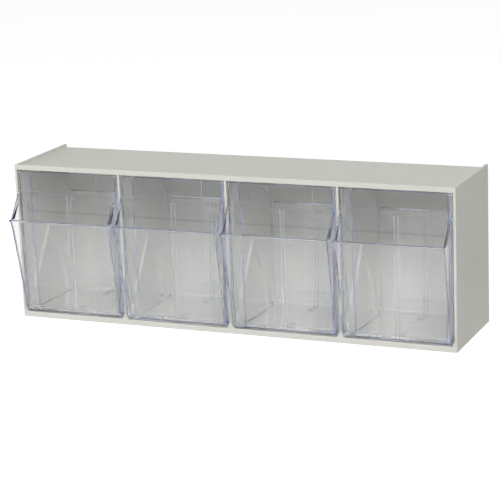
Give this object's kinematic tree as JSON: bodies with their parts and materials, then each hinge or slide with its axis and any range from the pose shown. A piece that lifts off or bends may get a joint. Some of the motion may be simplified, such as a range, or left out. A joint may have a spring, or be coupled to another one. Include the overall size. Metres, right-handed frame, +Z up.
{
  "type": "tilt out bin unit",
  "caption": "Light plastic counter cabinet with a row of clear bins that tip forward on moulded pins, each with a finger pocket, pull lip and label pad.",
  "frame": {"origin": "under the middle of the whole unit with the bins shut, on the surface it stands on", "axes": "+X along the row of bins to the viewer's right, +Y to the rear, +Z up"},
  "size_m": [0.6, 0.1724, 0.206],
  "materials": {
    "cabinet_plastic": "moulded high-impact polystyrene, light warm grey-white, fine satin",
    "clear_plastic": "clear moulded polystyrene, polished"
  },
  "bodies": {
    "cabinet": {"left_end_panel": "cabinet_plastic", "right_end_panel": "cabinet_plastic", "top_panel": "cabinet_plastic", "bottom_panel": "cabinet_plastic", "back_panel": "cabinet_plastic", "divider_1": "cabinet_plastic", "divider_2": "cabinet_plastic", "divider_3": "cabinet_plastic"},
    "tilt_bin_1": {"bin_1": "clear_plastic"},
    "tilt_bin_2": {"bin_2": "clear_plastic"},
    "tilt_bin_3": {"bin_3": "clear_plastic"},
    "tilt_bin_4": {"bin_4": "clear_plastic"}
  },
  "joints": [
    {"name": "bin_1_tilt", "type": "hinge", "parent": "cabinet", "child": "tilt_bin_1", "pos_m": [-0.22387, -0.04975, 0.012], "axis": [1, 0, 0], "range_deg": [0, 51]},
    {"name": "bin_2_tilt", "type": "hinge", "parent": "cabinet", "child": "tilt_bin_2", "pos_m": [-0.07462, -0.04975, 0.012], "axis": [1, 0, 0], "range_deg": [0, 51]},
    {"name": "bin_3_tilt", "type": "hinge", "parent": "cabinet", "child": "tilt_bin_3", "pos_m": [0.07462, -0.04975, 0.012], "axis": [1, 0, 0], "range_deg": [0, 51]},
    {"name": "bin_4_tilt", "type": "hinge", "parent": "cabinet", "child": "tilt_bin_4", "pos_m": [0.22387, -0.04975, 0.012], "axis": [1, 0, 0], "range_deg": [0, 51]}
  ]
}
